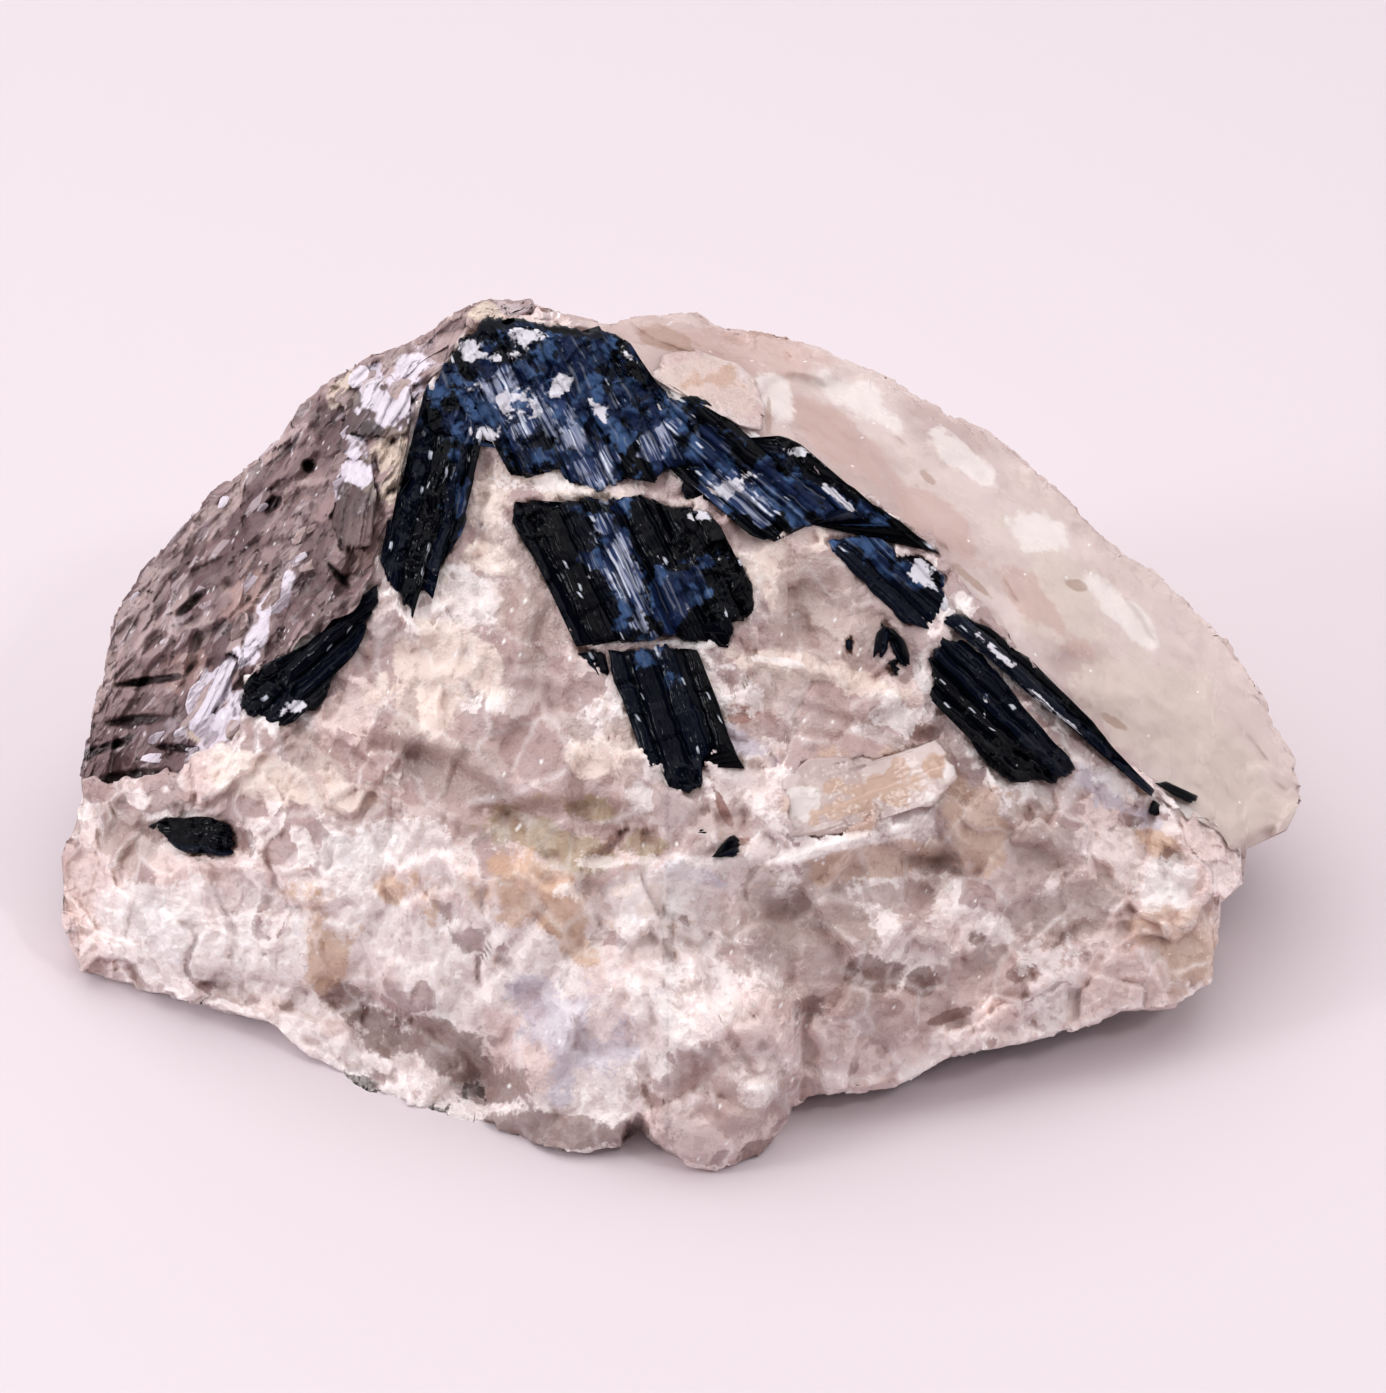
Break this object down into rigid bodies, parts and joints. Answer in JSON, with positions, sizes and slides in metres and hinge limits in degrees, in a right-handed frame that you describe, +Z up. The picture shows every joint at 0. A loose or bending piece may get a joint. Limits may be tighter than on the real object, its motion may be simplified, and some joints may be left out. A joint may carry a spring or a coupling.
{
  "type": "tourmaline in quartz specimen",
  "caption": "Broken hand specimen of quartz and feldspar rock with a flaky mica flank; ribbed dark blue tourmaline crystals fan out of its crest. It rests on a flat break.",
  "frame": {"origin": "middle of the flat break that the specimen rests on, under the middle of its bounding box", "axes": "+Z up from the flat break, +X to the right along the specimen's length, -Y towards the broken front with the crystals"},
  "size_m": [0.0732, 0.0484, 0.0343],
  "materials": {
    "feldspar": "granular fresh break, cream to pinkish white, with iron stains",
    "quartz": "glassy, milky to grey-brown and translucent",
    "mica": "flaky, grey-brown with lilac-silver flakes that glint",
    "tourmaline": "vitreous, ribbed lengthwise, black to deep blue"
  },
  "bodies": {
    "root": {"matrix_rock": "feldspar", "feldspar_knob": "feldspar", "quartz_block_front": "quartz", "mica_book_upper": "mica", "mica_book_middle": "mica", "mica_lath": "mica", "tourmaline_crown": "tourmaline", "tourmaline_centre_upper": "tourmaline", "tourmaline_centre_lower": "tourmaline", "tourmaline_right_upper": "tourmaline", "tourmaline_right_lower": "tourmaline", "tourmaline_edge_blade": "tourmaline", "tourmaline_left_foot": "tourmaline", "tourmaline_speck_left": "tourmaline", "tourmaline_chip": "tourmaline"}
  },
  "joints": []
}
